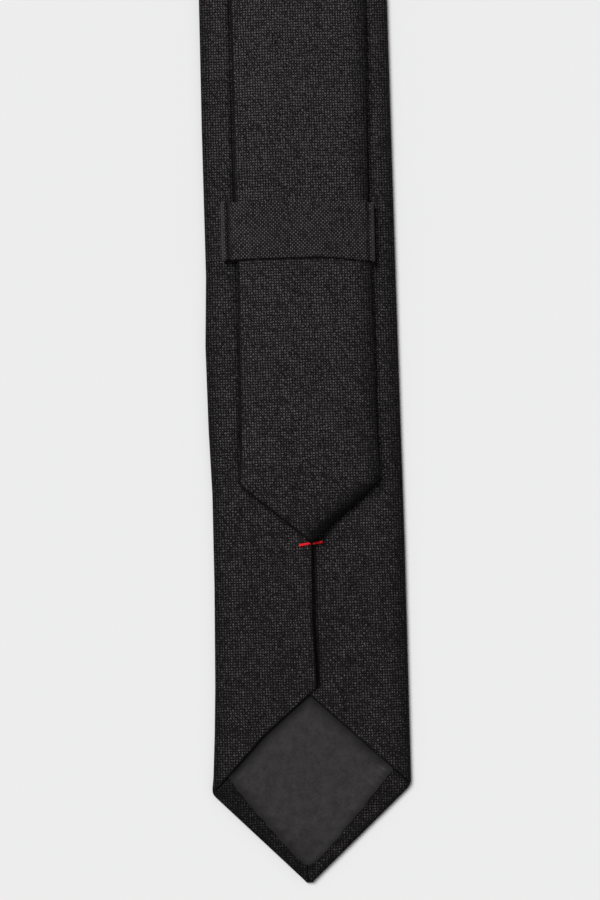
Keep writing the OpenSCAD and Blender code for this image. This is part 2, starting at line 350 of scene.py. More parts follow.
def neck_path():
    """Middle line of the neck piece, lower leg, half circle, cosine fall to the upper leg, upper leg.
    Gives its length from the seam, v, height, and the direction towards the inside of the roll."""
    half, radius, settle, step = NECK_MIDDLE, 4.6, 45.0, 0.25
    turn_v = -TIP_Y * 2 - radius - half
    packed = PACKED_TAIL - half
    leg = np.arange(WIDE_SEAM_V, turn_v, step)
    angle = np.linspace(0.0, np.pi, 160)[:-1]
    back = np.arange(turn_v, TAIL_SEAM_V - 0.1, -step)
    fall = 0.5 + 0.5 * np.cos(np.pi * np.clip((turn_v - back) / settle, 0.0, 1.0))
    v = np.concatenate([leg, turn_v + radius * np.sin(angle), back])
    z = np.concatenate([
        np.full(leg.size, half),
        half + radius * (1.0 - np.cos(angle)),
        packed + (half + 2 * radius - packed) * fall,
    ])
    step_v, step_z = np.gradient(v), np.gradient(z)
    size = np.hypot(step_v, step_z)
    s = np.concatenate([[0.0], np.cumsum(np.hypot(np.diff(v), np.diff(z)))])
    return s, v, z, -step_z / size, step_v / size


def neck_lie(x, s, h):
    """Carries a flat section along the neck's path. Both ends lean by 45 degrees to meet the seams."""
    along, v, z, inward_v, inward_z = neck_path()
    lean = smooth(s, along[-1] - 40.0, along[-1]) - (1.0 - smooth(s, 0.0, 38.0))
    at = np.clip(s + x * lean, -20.0, along[-1] + 20.0)
    before, after = np.minimum(at, 0.0), np.maximum(at - along[-1], 0.0)
    out = h - NECK_MIDDLE
    return (
        x,
        np.interp(at, along, v) + before - after + np.interp(at, along, inward_v) * out,
        np.interp(at, along, z) + np.interp(at, along, inward_z) * out,
    )


# ---- folded cloth


def fold_across(line, v):
    """How wide a fold looks along a row: its radius times the length of the edge for each step of v."""
    rise = np.gradient(eased(v, line, 0.7), v.ravel(), axis=0)
    return np.hypot(1.0, np.clip(rise, -1.12, 1.12))


def sleeve_height(tie, x, v, left, right, lap):
    """Height of the flaps over the face: the folded side's thickness at the edges, filling out to the
    body's thickness as 1 − e^−d/4, with the lap rising over the seam and slow waves added."""
    sizes = cloth_sizes()
    rim, body = 2 * sizes.fold_radius / MM, sizes.body / MM
    inside = np.maximum(np.minimum(x - left, right - x) - rim / 2, 0.0)
    rise = lap * smooth(x, -3.2, 1.6) * smooth(v, tie.window_top - 1.0, tie.window_top + 4.0)
    wave = sizes.undulation / MM * ripple(x, v, 17.0, 5) * smooth(inside, 0.0, 4.0)
    return rim + (body - rim) * (1.0 - np.exp(-inside / 4.0)) + rise * sizes.lap_rise / MM + wave


def edge_shade(tie, x, v, left, right):
    """Painted shade beside the folded edges, where they roll away from the light: most at the edges,
    falling off as a bell curve inwards. On the tail the left band is a narrow painted shadow line, the
    right one wide and darkest beside the tip."""
    from_left = np.maximum((x - left) / fold_across(tie.left, v) - 0.3, 0.0)
    from_right = np.maximum((right - x) / fold_across(tie.right, v) - 0.3, 0.0)
    reach_left, reach_right, most_left, most_right = 2.3, 3.2, 0.48, 0.6
    if tie is Tail:
        beside_tip = 1.0 - smooth(v, 119.0, 127.0)
        reach_left, reach_right = 0.35, 2.9 + 0.7 * beside_tip
        most_left, most_right = 0.95, 0.6 + 0.34 * beside_tip
    return np.maximum(most_left * bell(from_left, reach_left), most_right * bell(from_right, reach_right))


def seam_pinch(v, ends):
    """How thick the tie is at its cross seams, as a share: 0.3 less there, fading as e^−d/0.9."""
    return 1.0 - sum(0.3 * np.exp(-np.abs(v - end) / 0.9) for end in ends)


def leaning(tie, x, v):
    """Slants a blade's rows towards its 45 degree seam. The neck piece leans in neck_lie."""
    return v if tie is Neck else v - x * smooth(v, tie.end - SEAM_LEAN, tie.end)


def sleeve(tie, v, lie, ends):
    """Cloth folded round the core. Each row goes from the left flap's turned edge over the left flap,
    round a half ellipse, across the face, round a half ellipse and over the right flap to its edge.
    The seam lies in a valley beside the lap, and the tail's left edge leaves a crease in the flap."""
    sizes = cloth_sizes()
    middle = sizes.body / MM / 2
    v = v[:, None]
    left, right = outline(tie, v)
    lift = 0.3  # half the height of a flap's rolled edge
    tuck = np.linspace(1.0, 0.0, 4)[None, :-1]
    quarter = np.linspace(-0.5, 0.5, 9)[None, :-1] * np.pi
    across = np.linspace(0.0, 1.0, 45)[None, :-1] ** 1.15
    turn = np.linspace(0.0, np.pi, 11)[None, :]

    def flap(side, line, flap_line, lap):
        """One flap, from its tucked edge over its rolled edge and its top to the end of its fold."""
        wide = sizes.fold_radius / MM * fold_across(line, v)
        start = (left if side < 0 else right) - side * wide
        edge = side * np.minimum(side * eased(v, flap_line, 0.5), side * start - 0.02)
        roll = np.minimum(0.42, 0.45 * side * (start - edge))
        base = edge + side * roll
        reach = np.minimum(4.0, 0.8 * (side * (start - edge) - roll))
        tucked, top = base + side * tuck * reach, base + (start - base) * across

        def height(x):
            return sleeve_height(tie, x, v, left, right, lap)

        rim = height(start) / 2
        rolled, around = base - side * roll * np.cos(quarter), start + side * wide * np.sin(turn)
        h_rolled, h_around = height(base) - lift + lift * np.sin(quarter), rim + rim * np.cos(turn)
        x = np.hstack([tucked, rolled, top, around])
        h = np.hstack([height(tucked) - 2 * lift, h_rolled, height(top), h_around])
        folded = start + side * wide * np.minimum(turn, np.pi - turn)
        return edge, start, x, h, np.hstack([x[:, :-turn.size], folded])

    edge_l, start_l, x_l, h_l, cloth_l = flap(-1, tie.left, tie.flap_left, 1.0)
    edge_r, start_r, x_r, h_r, cloth_r = flap(1, tie.right, tie.flap_right, 0.0)
    x_face = start_l + (start_r - start_l) * np.linspace(0.0, 1.0, 19)[None, :-1]
    x = np.hstack([x_l[:, :-1], x_face, x_r[:, ::-1]])
    h = np.hstack([h_l[:, :-1], 0.02 + 0.0 * x_face, h_r[:, ::-1]])
    cloth_x = np.hstack([cloth_l[:, :-1], x_face, cloth_r[:, ::-1]])
    half_fold = turn.size // 2
    on_left, on_face = x_l.shape[1] - half_fold - 1, x_face.shape[1] + 2 * half_fold
    on_right = x.shape[1] - on_left - on_face
    layer = np.repeat((LEFT_FLAP, FACE, RIGHT_FLAP), (on_left, on_face, on_right))
    h = middle + (h - middle) * seam_pinch(v, ends)
    # The seam valley is real relief, and below it is also darkened with painted shade.
    valley = bell(x - edge_l - 0.6, 0.8) * (layer == RIGHT_FLAP) * (h > middle)
    deep = 0.4 + 0.45 * (1.0 - smooth(v, 62.0, 100.0))
    h = h - deep * valley * smooth(v, tie.window_top + 1.0, tie.window_top + 5.0)
    crease = 0.0
    if tie is Wide:
        # The crease is a real dent beside the tail's left edge, and it is also darkened with painted
        # shade.
        crease = bell(x - eased(v, Tail.left) + 0.4, 0.4) * (layer == LEFT_FLAP) * (h > middle)
        crease = crease * smooth(v, 121.0, 128.0)
        h = h - crease * (0.35 + 0.3 * smooth(v, 186.0, 206.0))
    # Painted shade along the flaps' turned edges, in the seam valley and in the crease.
    edges = bell(edge_l - x, 0.75) * (layer == LEFT_FLAP)
    edges = edges + bell(x - edge_r, 0.75) * (layer == RIGHT_FLAP) * (h > middle)
    edges = np.maximum(edges, valley * smooth(v, tie.window_top, tie.window_top + 3.0))
    painted_shading = np.maximum(edge_shade(tie, x, v, left, right), np.maximum(edges, crease))
    return laid(lie, x, leaning(tie, x, v), h, cloth_x, layer[None, :], painted_shading)


def tip_face(tie, v, lie):
    """The face below the corners, where the hems take over from the flaps: the lower halves of both
    folds and the face between them. The tip closes as a quarter ellipse along v."""
    radius = cloth_sizes().fold_radius / MM
    v = v[:, None]
    left, right = outline(tie, v)
    room = 0.48 * (right - left)
    wide_l = np.minimum(radius * fold_across(tie.left, v), room)
    wide_r = np.minimum(radius * fold_across(tie.right, v), room)
    turn = np.linspace(np.pi / 2, np.pi, 6)[None, :-1]
    turn_up = np.linspace(0.0, np.pi / 2, 6)[None, :]
    run = np.linspace(0.0, 1.0, 19)[None, :-1]
    x = np.hstack([
        left + wide_l - wide_l * np.sin(turn),
        left + wide_l + (right - wide_r - left - wide_l) * run,
        right - wide_r + wide_r * np.sin(turn_up),
    ])
    below = np.hstack([np.cos(turn), -np.ones_like(run), -np.cos(turn_up)])
    h = radius + (radius - 0.02) * below * round_end(v - tie.tip)
    return laid(lie, x, v, h, x, FACE, edge_shade(tie, x, v, left, right))


def hem(tie, side, lie):
    """Cloth turned up along one lower edge: round a half ellipse at the edge, level to just under the
    lining, with its inner edge rolled down at the mitre. It runs on under the flap at the corner, with
    painted shade where it goes under. Painted shade also darkens it beside its folded edge, and the
    whole hem is darkened at least a little, the left one more."""
    line, lining_line, flap_line, layer, reach, least = (
        (tie.left, tie.lining_left, tie.flap_left, LEFT_HEM, 3.0, 0.56) if side < 0 else
        (tie.right, tie.lining_right, tie.flap_right, RIGHT_HEM, 1.5, 0.38)
    )
    v = spaced((tie.tip, tie.tip + 1.5, 0.12), (tie.tip + 1.5, tie.corner + 7.0, 0.4))[:, None]
    under = smooth(v, tie.corner - 0.6, tie.corner + 1.2)
    outer = eased(v, line, 0.7) + side * 0.03 - side * 0.75 * under
    mitre = eased(v, tie.mitre)
    inner = side * np.maximum(side * mitre + 0.04, side * eased(v, lining_line, 0.3) - 1.3)
    wide = cloth_sizes().fold_radius / MM * fold_across(line, v)
    wide = np.minimum(wide, 0.7 * side * (outer - inner))
    fold = outer - side * wide
    half = (1.95 - 0.25 * under) / 2
    close = round_end(v - tie.tip)
    turn = np.linspace(-0.2, 0.5, 12)[None, :-1] * np.pi
    run = np.linspace(0.0, 1.0, 22)[None, :] ** 0.9
    level = fold + (inner - fold) * run
    x = np.hstack([fold + side * wide * np.cos(turn), level])
    h = half + half * np.hstack([np.sin(turn), np.ones_like(run)]) * close
    open_mitre = 1.0 - smooth(v, tie.lining_tip - 0.4, tie.lining_tip + 1.6)
    h = h - 0.55 * bell(x - mitre, 0.3) * open_mitre * close
    h = h + 0.05 * ripple(x, v, 6.0, 31 + side) * np.hstack([0.0 * turn, smooth(run, 0.0, 0.2)])
    cloth_x = np.hstack([fold + side * wide * (np.pi / 2 - turn), level])
    inside = np.maximum(side * (outer - x) / DIAGONAL - 0.3, 0.0)
    to_flap = np.maximum(side * (eased(v, flap_line) - x), 0.0)
    # painted shade where the hem goes under the flap
    flap_shadow = bell(to_flap, 1.1) * smooth(v, tie.corner - 1.0, tie.corner + 0.4)
    painted_shading = np.maximum(0.7 * bell(inside, reach), np.maximum(0.95 * flap_shadow, least))
    return laid(lie, x, v, h, cloth_x, layer, painted_shading, flip=side < 0)


def lining_sheet(tie, lie, puckers):
    """Thin satin over the hems and under the flaps: its lower edges lie on the hems and roll down a
    quarter circle, and its middle sinks to the core. Each pucker, given as middle x, middle v, reach,
    height, width and angle, is a ridge that falls off as a bell curve both ways and catches the light,
    with a painted highlight on it as well. The sheet has painted shade beside the flaps, along the
    hems and at its lower point."""
    tip, corner, top = tie.lining_tip, tie.corner, tie.window_top + 3.0
    v = spaced((tip, tip + 1.6, 0.1), (tip + 1.6, top, 0.4), (top, tie.lining_end, 1.5))[:, None]
    left, right = eased(v, tie.lining_left, 0.5), eased(v, tie.lining_right, 0.5)
    hand = smooth(v, tip + 0.5, tip + 3.0) * (1.0 - smooth(v, corner, corner + 4.0))
    left = left + 0.24 * hand * ripple(v, 0.0, 4.0, 3)
    right = right + 0.24 * hand * ripple(v, 0.0, 4.0, 6)
    long_l = np.hypot(1.0, np.clip(np.gradient(left, v[:, 0], axis=0), -1.3, 1.3))
    long_r = np.hypot(1.0, np.clip(np.gradient(right, v[:, 0], axis=0), -1.3, 1.3))
    near = np.array([0.0, 0.02, 0.06, 0.12, 0.2, 0.3, 0.42, 0.6, 0.9])[None, :]
    room = 0.45 * (right - left)
    in_l, in_r = np.minimum(near * long_l, room), np.minimum(near[:, ::-1] * long_r, room)
    middle = np.linspace(0.0, 1.0, 112)[None, 1:-1]
    span_l, span_r = left + in_l[:, -1:], right - in_r[:, :1]
    x = np.hstack([left + in_l, span_l + (span_r - span_l) * middle, right - in_r])
    inside = np.minimum((x - left) / long_l, (right - x) / long_r)
    inside = np.minimum(inside, (v - tip) + 0.0 * x)
    seen = 1.0 - smooth(v, corner + 3.0, corner + 9.0)
    above = np.where(v < corner, 9.0, 0.0)
    flap_l = above + np.maximum(x - eased(v, tie.flap_left), 0.0) / DIAGONAL
    flap_r = above + np.maximum(eased(v, tie.flap_right) - x, 0.0) / DIAGONAL
    z = 1.5 + 0.28 * smooth(np.minimum(flap_l, flap_r), 0.0, 7.0) + 0.42 * bell(inside, 2.6) * seen
    z = z - 0.32 * (1.0 - round_end(inside / 0.32))
    z = z + 0.07 * ripple(x, v, 11.0, 8) * smooth(inside, 0.3, 3.0)
    ridge_highlight = 0.0
    for middle_x, middle_v, reach, high, size, angle in puckers:
        along = (x - middle_x) * math.cos(angle) + (v - middle_v) * math.sin(angle)
        beside = (v - middle_v) * math.cos(angle) - (x - middle_x) * math.sin(angle)
        ridge = high * bell(beside, size) * bell(along, reach)
        z = z + ridge * smooth(inside, 0.1, 1.4)
        ridge_highlight = ridge_highlight + ridge
    # Painted shade beside the flaps, along the hems and at the lower point; the ridges take some of it
    # away as a painted highlight.
    shade = np.maximum(bell(flap_l, 2.5), 0.72 * bell(flap_r, 2.4))
    shade = np.maximum(shade, 0.62 * bell(inside, 2.3) * seen)
    shade = np.maximum(shade, 0.45 * bell(v - tip - 3.5, 3.2) * bell(x + 1.0, 4.0))
    return laid(lie, x, v, z, x, 0.0, shade - 1.3 * ridge_highlight, flip=True)


def core(tie, v, lie):
    """Wool interlining: a flat ring of two levels joined by half circles, set in from the folded sides.
    Its first and last rows close on its middle height."""
    v = v[:, None]
    left, right = outline(tie, v)
    left, right = left + 1.7 * fold_across(tie.left, v), right - 1.7 * fold_across(tie.right, v)
    middle = (left + right) / 2
    left, right = np.minimum(left, middle - 0.1), np.maximum(right, middle + 0.1)
    turn = np.linspace(0.0, np.pi, 7)[None, :-1]
    run = np.linspace(0.0, 1.0, 15)[None, :-1]
    x = np.hstack([right + (left - right) * run, left - 0.5 * np.sin(turn),
                   left + (right - left) * run, right + 0.5 * np.sin(turn)])
    side = np.hstack([np.ones_like(run), np.cos(turn), -np.ones_like(run), -np.cos(turn)])
    middle_h, half_thick = 0.83, 0.43 * np.ones_like(v)
    half_thick[[0, -1]] = 0.0
    return laid(lie, x, leaning(tie, x, v), middle_h + half_thick * side, x, side * 2.0, closed=True)


def strand(path, radius, sides=6, wind=0.0, turns=0.0, phase=0.0):
    """A round thread along a path of points (x, v, z): circles square to the path, wound round it at
    distance wind, and drawn to a point at both ends."""
    path = np.asarray(path, dtype=float)
    tangent = np.gradient(path, axis=0)
    tangent /= np.linalg.norm(tangent, axis=1, keepdims=True)
    up = np.array([0.0, 0.0, 1.0]) - tangent * tangent[:, 2:]
    weak = np.linalg.norm(up, axis=1) < 0.2
    up[weak] = np.array([0.0, 1.0, 0.0]) - tangent[weak] * tangent[weak, 1:2]
    up /= np.linalg.norm(up, axis=1, keepdims=True)
    side = np.cross(tangent, up)
    run = np.concatenate([[0.0], np.cumsum(np.linalg.norm(np.diff(path, axis=0), axis=1))])
    angle = (phase + turns * run / run[-1]) * 2 * np.pi
    path = path + wind * (np.cos(angle)[:, None] * up + np.sin(angle)[:, None] * side)
    end = np.minimum(run, run[-1] - run)
    size = radius * round_end(end / (1.2 * radius))
    round_it = np.linspace(0.0, 2 * np.pi, sides + 1)[None, :-1]
    ring = (path[:, None, :] + size[:, None, None] * (
        np.cos(round_it)[..., None] * up[:, None, :] + np.sin(round_it)[..., None] * side[:, None, :]))
    along = run[:, None] + 0.0 * round_it
    return Patch(*np.moveaxis(ring, -1, 0), along, round_it * radius, 0.0, closed=True, turned=True)


def carried(patch, lie):
    """Moves a thread that was made along the flat tie to where the tie lies."""
    x, y, z = np.moveaxis(patch.place / MM, -1, 0)
    patch.place = np.stack(lie(x, y - TIP_Y, z), axis=-1) * MM
    patch.place[..., 1] += TIP_Y * MM
    patch.turned = lie is not tail_lie
    return patch


def bar_tack(points, lie):
    """Short stitches of two strands twisted round each other, between pairs of points, arched over the
    seam and sunk into the cloth at their ends."""
    patches = []
    t = np.linspace(0.0, 1.0, 60)[:, None]
    for start, end in points:
        line = np.array(start) + (np.array(end) - np.array(start)) * t
        line[:, 2:] -= 0.5 * np.abs(2 * t - 1) ** 8
        for phase in (0.0, 0.5):
            patches.append(carried(strand(line, 0.26, sides=10, wind=0.2, turns=2.3, phase=phase), lie))
    return patches


def running_thread(v, x, h, lie):
    """The hidden slip stitch under the lap: one thin thread that sways from side to side."""
    return carried(strand(np.stack([x, v, h], axis=-1), radius=0.1, sides=5), lie)


def keeper_patch():
    """The band as a closed ring: a section with rounded ends, carried round a loop that lies on the
    flaps, rolls up at both sides and follows the tail's front, sagging beside the tail's edges. The
    rolled sides get a painted highlight; the dips beside them get painted shade, and the upper band's
    lower edge a painted shadow line."""
    sizes = bpy.context.scene.tie_keeper
    low, high = KEEPER
    half = sizes.band / MM / 2
    crest = bpy.context.scene.tie_tail.top / MM + half + 0.1
    left, right = low[0] + 0.25 + half, high[0] - 0.25 - half
    loop = np.array([
        (left + 1.2, 3.02), (-14.0, 3.08), (-4.0, 3.3), (1.5, 3.62), (4.0, 3.4), (14.0, 3.08),
        (right - 1.2, 3.0),
        (right - 0.2, 3.35), (right, 4.3), (right + 0.05, 5.6), (right - 0.35, 6.3), (right - 0.9, 6.35),
        (21.3, 6.2), (20.0, 6.5), (16.0, crest - 0.42), (9.0, crest), (2.0, crest + 0.03),
        (-6.0, crest - 0.02), (-13.0, crest - 0.42), (-16.8, 6.5), (-18.7, 5.95), (-19.8, 4.9),
        (left + 1.9, 4.5), (left + 1.1, 5.3),
        (left + 0.4, 5.5), (left - 0.1, 4.9), (left, 4.0), (left + 0.25, 3.35),
    ])
    ring = np.vstack([loop, loop[:1]])
    run = np.concatenate([[0.0], np.cumsum(np.hypot(*np.diff(ring, axis=0).T))])
    at = np.linspace(0.0, run[-1], 901)[:-1]
    px, pz = np.interp(at, run, ring[:, 0]), np.interp(at, run, ring[:, 1])
    for _ in range(3):
        px = np.mean([np.roll(px, k) for k in range(-3, 4)], axis=0)
        pz = np.mean([np.roll(pz, k) for k in range(-3, 4)], axis=0)
    px, pz, at = px[::3], pz[::3], at[::3]
    tx, tz = np.roll(px, -1) - np.roll(px, 1), np.roll(pz, -1) - np.roll(pz, 1)
    size = np.hypot(tx, tz)
    nx, nz = (tz / size)[:, None], (-tx / size)[:, None]
    px, pz = px[:, None], pz[:, None]
    upper = smooth(pz, 4.0, 5.2)
    low_v, high_v, low_v_below, high_v_below = 188.55, 205.95, 188.3, 205.0
    bottom = low_v - sizes.bow / MM * smooth(px, 4.0, 24.0) ** 1.3 - 0.1 * smooth(-px, 12.0, 22.0)
    top = high_v - 1.1 * smooth(px, 2.0, 23.0) + 0.1 * smooth(-px, 14.0, 22.0)
    bottom = bottom + (low_v_below - bottom) * (1 - upper)
    top = top + (high_v_below - top) * (1 - upper)
    turn = np.linspace(-0.5, 0.5, 8)[:-1] * np.pi
    flat = np.linspace(0.0, 1.0, 30)[:-1]
    along = np.concatenate([flat, np.ones(7), flat[::-1] + 1 / 29, np.zeros(7)])[None, :]
    past = np.concatenate([0 * flat, np.cos(turn), 0 * flat, -np.cos(turn)])[None, :]
    out = np.concatenate([1 + 0 * flat, -np.sin(turn), -1 + 0 * flat, np.sin(turn)])[None, :]
    v = bottom + half + (top - bottom - 2 * half) * along + half * past
    swell, outside = np.sin(np.pi * np.clip(along, 0, 1)), out > 0.5
    puff = 1.0 + 0.25 * swell * upper * outside
    wave = 0.09 * ripple(px, v, 9.0, 77) * outside * smooth(pz, 5.4, 6.2)
    shift = half * out * puff + wave * swell
    x, z = px + nx * shift, pz + nz * shift
    rows = np.append(np.arange(len(px)), 0)
    cloth_x = np.append(at, run[-1])[:, None] + 0.0 * v[rows]
    # Painted highlight on the rolled sides, painted shade in the dips beside them, and a painted shadow
    # line along the upper band's lower edge.
    painted_highlight = bell(px - left, 0.75) + bell(px - right, 0.75)
    dip = bell(px - left - 1.9, 0.8) + bell(px - right + 1.7, 0.6)
    rim = 0.9 * bell(v - bottom, 0.3) * upper
    roll_shading = upper * (0.75 * dip - 0.7 * painted_highlight)
    painted_shading = np.minimum(roll_shading + rim * (1.0 - np.minimum(painted_highlight, 1.0)), 1.0)[rows]
    return Patch(x[rows], v[rows], z[rows], cloth_x, v[rows], BAND, painted_shading, closed=True, turned=True)


# ---- finishes


def joined(operation, swapped=False):
    """An operator of Value that adds one Math node."""
    def method(self, other):
        return self.finish.maths(operation, *((other, self) if swapped else (self, other)))
    return method


class Value:
    """A number socket that can be added to, multiplied and so on: each step adds a Math node."""

    def __init__(self, finish, socket):
        self.finish, self.socket = finish, socket

    __add__ = __radd__ = joined("ADD")
    __sub__ = joined("SUBTRACT")
    __rsub__ = joined("SUBTRACT", swapped=True)
    __mul__ = __rmul__ = joined("MULTIPLY")

    def __neg__(self):
        return self * -1.0


class Finish:
    """A material in the making, and the few ways its nodes are added."""

    def __init__(self, name):
        self.material = bpy.data.materials.new(name)
        self.material.use_nodes = True
        self.tree = self.material.node_tree
        self.shader = self.tree.nodes["Principled BSDF"]

    def node(self, kind, settings=None, **sockets):
        """Adds a shader node of this type: settings first, then the values or links of its sockets. A
        socket called i6 is input number 6."""
        made = self.tree.nodes.new("ShaderNode" + kind)
        for key, value in (settings or {}).items():
            setattr(made, key, value)
        for key, value in sockets.items():
            numbered = key[0] == "i" and key[1:].isdigit()
            self.feed(made.inputs[int(key[1:]) if numbered else key], value)
        return made

    def feed(self, target, value):
        """Links a socket or value to an input, or sets the input to a constant."""
        if isinstance(value, Value):
            value = value.socket
        if isinstance(value, bpy.types.NodeSocket):
            self.tree.links.new(value, target)
        else:
            target.default_value = value

    def maths(self, operation, *values):
        """One Math node on numbers."""
        made = self.node("Math", {"operation": operation},
                         **{f"i{n}": v for n, v in enumerate(values)})
        return Value(self, made.outputs[0])

    def cloth(self):
        """The cloth's own coordinates in millimetres: across, along, and which layer it is."""
        read = self.node("Attribute", {"attribute_name": "cloth"})
        split = self.node("SeparateXYZ", Vector=read.outputs["Vector"])
        return [Value(self, split.outputs[n]) for n in range(3)]

    def painted_shading(self):
        """How much painted shade darkens the cloth, or, where it is below 0, how much painted highlight
        lightens it.
        """
        return Value(self, self.node("Attribute", {"attribute_name": "painted_shading"}).outputs["Fac"])

    def noise(self, x, y, z, scale=1.0, detail=2.0, rough=0.5):
        """Soft noise from 0 to 1 at this place in the cloth."""
        place = self.node("CombineXYZ", X=x, Y=y, Z=z)
        made = self.node("TexNoise", {"noise_dimensions": "3D"}, Vector=place.outputs[0],
                         Scale=scale, Detail=detail, Roughness=rough)
        return Value(self, made.outputs[0])

    def between(self, share, first, second):
        """A colour between two, by share from 0 to 1."""
        made = self.node("Mix", {"data_type": "RGBA"}, i0=share, i6=first, i7=second)
        return made.outputs[2]

    def ramp(self, value, low, high, to_low=0.0, to_high=1.0):
        """Goes smoothly from to_low to to_high while the value goes from low to high."""
        made = self.node("MapRange", {"interpolation_type": "SMOOTHSTEP"}, Value=value)
        for key, number in zip(("From Min", "From Max", "To Min", "To Max"), (low, high, to_low, to_high)):
            made.inputs[key].default_value = number
        return Value(self, made.outputs[0])

    def bump(self, height, distance, strength=1.0):
        """Fine relief on the surface: its distance is in metres."""
        made = self.node("Bump", Height=height, Distance=distance, Strength=strength)
        self.tree.links.new(made.outputs[0], self.shader.inputs["Normal"])

    def surface(self, **sockets):
        """Feeds the shader and hands over the finished material."""
        for key, value in sockets.items():
            self.feed(self.shader.inputs[key.replace("_", " ")], value)
        return self.material


def rgba(values, share=1.0):
    """A colour made lighter or darker by this share, with full alpha."""
    return (*[min(1.0, c * share) for c in values], 1.0)


def weave(finish, across, along, layer, pitch, turned):
    """A plain weave. Yarn numbers come from the cloth's coordinates, turned by 45 degrees for cloth cut
    on the bias. In each crossing one yarn is over: its round back times a half cosine along it.
    Gives the height, from 0 in the gaps to 1, which yarn is on top, and both yarns' own shades."""
    slow = finish.noise(across, along, layer, 0.3, 1.0) * 0.9
    wander = slow + finish.noise(across, along, layer, 1.3, 1.0) * 1.35
    if turned:
        yarns = 0.7071 / pitch
        u = (across + along) * yarns + wander
        w = (along - across) * yarns + finish.noise(along, across, layer + 5.0, 1.2, 1.0) * 1.45
    else:
        yarns = 1.0 / pitch
        u = across * yarns + wander * 0.5
        w = along * yarns + finish.noise(along, across, layer + 5.0, 1.0, 1.0) * 0.8
    u, w = u + layer * 7.31, w + layer * 3.17
    number_u, number_w = finish.maths("FLOOR", u), finish.maths("FLOOR", w)
    in_u, in_w = u - number_u - 0.5, w - number_w - 0.5
    parity = finish.maths("PINGPONG", number_u + number_w, 1.0)
    sign = 1.0 - 2.0 * parity
    wave_w = finish.maths("COSINE", in_w * math.pi)
    wave_u = finish.maths("COSINE", in_u * math.pi)
    squeeze = 4.6  # makes a yarn's back end just inside its share of the pitch
    back_u, back_w = [
        finish.maths("SQRT", finish.maths("MAXIMUM", 1.0 - place * place * squeeze, 0.0))
        for place in (in_u, in_w)
    ]
    high_u = back_u * (0.55 + 0.45 * (sign * wave_w))
    high_w = back_w * (0.55 - 0.45 * (sign * wave_u))
    height = finish.maths("MAXIMUM", high_u, high_w)
    over = finish.maths("GREATER_THAN", high_u, high_w)
    slub_u = finish.noise(number_u * 3.7, w * 0.16, layer, 1.0, 2.0, 0.6)
    slub_w = finish.noise(u * 0.16, number_w * 3.7, layer + 40.0, 1.0, 2.0, 0.6)
    crossing = finish.noise(number_u * 5.3, number_w * 4.7, layer, 1.0, 0.0)
    shade = (slub_w + (slub_u - slub_w) * over) * 0.62 + crossing * 0.38
    return height, over, shade


def suiting(name, turned, pitch_share=1.0):
    """Matt black woven cloth: yarn backs painted light and their sides painted dark, painted shade in the
    black gaps, and uneven yarns. Painted shade takes it to a dark tone, and a painted highlight to a light
    tone in which the weave hardly shows."""
    sizes = cloth_sizes()
    finish = Finish(name)
    across, along, layer = finish.cloth()
    pitch = sizes.yarn_pitch / MM * pitch_share
    height, over, shade = weave(finish, across, along, layer, pitch, turned)
    uneven = finish.ramp(shade, 0.34, 0.66, 0.22, 1.78)
    patchy = finish.ramp(finish.noise(across, along, layer, 0.12, 3.0, 0.6), 0.3, 0.7, 0.86, 1.14)
    # Painted light on the weave: yarn backs lit and sides shaded, and one set of yarns painted lighter
    # than the other where it lies on top, as a painted sheen. The uneven and patchy tone is the cloth's
    # own; it also grows lighter along the tie and a little darker on the flaps.
    lit = finish.ramp(height, 0.45, 0.98)
    along_tie = finish.ramp(along, 30.0, 290.0, 0.68, 1.36) * finish.ramp(layer, 3.5, 5.5, 0.94, 1.0)
    lit = lit * uneven * patchy * along_tie * (0.12 + 0.88 * over)
    lit = finish.maths("MINIMUM", lit, 1.0)
    yarn = finish.between(lit, rgba(sizes.shaded_yarn_side), rgba(sizes.lit_yarn_top))
    # painted shade in the gaps between the yarns
    woven = finish.between(finish.ramp(height, 0.25, 0.72), rgba(sizes.gap), yarn)
    painted_shading = finish.painted_shading()
    # painted highlight where the shading attribute is below 0
    painted_highlight = finish.between(finish.maths("MAXIMUM", -painted_shading, 0.0), woven, rgba(sizes.lit_yarn_top, 0.55))
    # painted shade where the shading attribute is above 0
    whole = finish.between(finish.maths("MAXIMUM", painted_shading, 0.0), painted_highlight, rgba(sizes.shaded_yarn_side, 0.35))
    fuzz = finish.noise(across, along, layer, 7.0, 2.0, 0.7)
    finish.bump(height + fuzz * 0.18, 0.00012, 0.75)
    return finish.surface(
        Base_Color=whole, Roughness=finish.ramp(height, 0.0, 1.0, 0.92, 0.76),
        Specular_IOR_Level=0.05, Sheen_Weight=0.008, Sheen_Roughness=0.6,
    )


def satin():
    """Dark satin lining: fine ribs along the bias, faint mottling, a low gloss, and the painted shade that
    the sheet carries.
    """
    sizes = cloth_sizes()
    finish = Finish("satin lining")
    across, along, _ = finish.cloth()
    rib = finish.maths("SINE", (across + along) * 22.0 + finish.noise(across, along, 0.0, 0.8) * 5.0)
    mottle = finish.noise(across, along, 3.0, 0.35, 4.0, 0.65)
    grain = finish.noise(across, along, 9.0, 1.6, 3.0, 0.7)
    share = finish.ramp(mottle, 0.3, 0.7) * 0.45 + finish.ramp(grain, 0.25, 0.75) * 0.55
    tone = finish.between(share, rgba(sizes.satin, 0.6), rgba(sizes.satin, 1.3))
    shaded = finish.between(finish.painted_shading(), tone, rgba(sizes.satin, 0.12))
    finish.bump(rib * 0.25 + grain * 0.9, 0.00003, 0.6)
    return finish.surface(
        Base_Color=shaded, Roughness=finish.ramp(mottle, 0.2, 0.8, 0.5, 0.6),
        Specular_IOR_Level=0.12, Sheen_Weight=0.02,
    )


